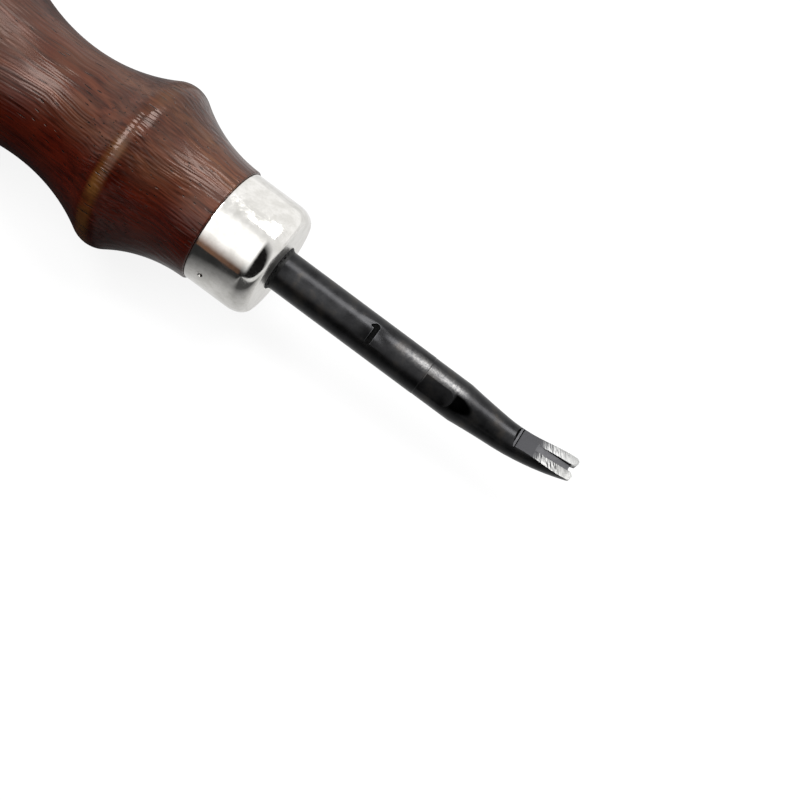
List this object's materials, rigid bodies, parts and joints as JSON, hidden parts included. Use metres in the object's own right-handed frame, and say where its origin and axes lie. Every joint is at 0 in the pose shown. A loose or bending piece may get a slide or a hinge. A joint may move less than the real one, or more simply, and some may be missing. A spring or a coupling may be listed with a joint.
{
  "type": "edge trimming plane",
  "caption": "Hand tool with a forked steel cutter on a round shank, set through a metal ferrule into a turned wooden handle, for planing the corner off a leather edge.",
  "frame": {"origin": "on the tool's axis, where the bare round shank begins in front of the ferrule", "axes": "+X along the shank towards the prongs, +Z towards the side that the chip channel opens to, +Y completes the right-handed frame"},
  "size_m": [0.1314, 0.0256, 0.0256],
  "materials": {
    "handle_wood": "turned dark hardwood, oiled to a satin sheen",
    "ferrule_nickel": "polished nickel plate with light scuffs",
    "blade_steel": "black oxide, ground bright on the prongs",
    "bond_resin": "cured dark resin"
  },
  "bodies": {
    "root": {"handle": "handle_wood", "ferrule": "ferrule_nickel", "blade": "blade_steel", "tang_bond": "bond_resin"}
  },
  "joints": []
}
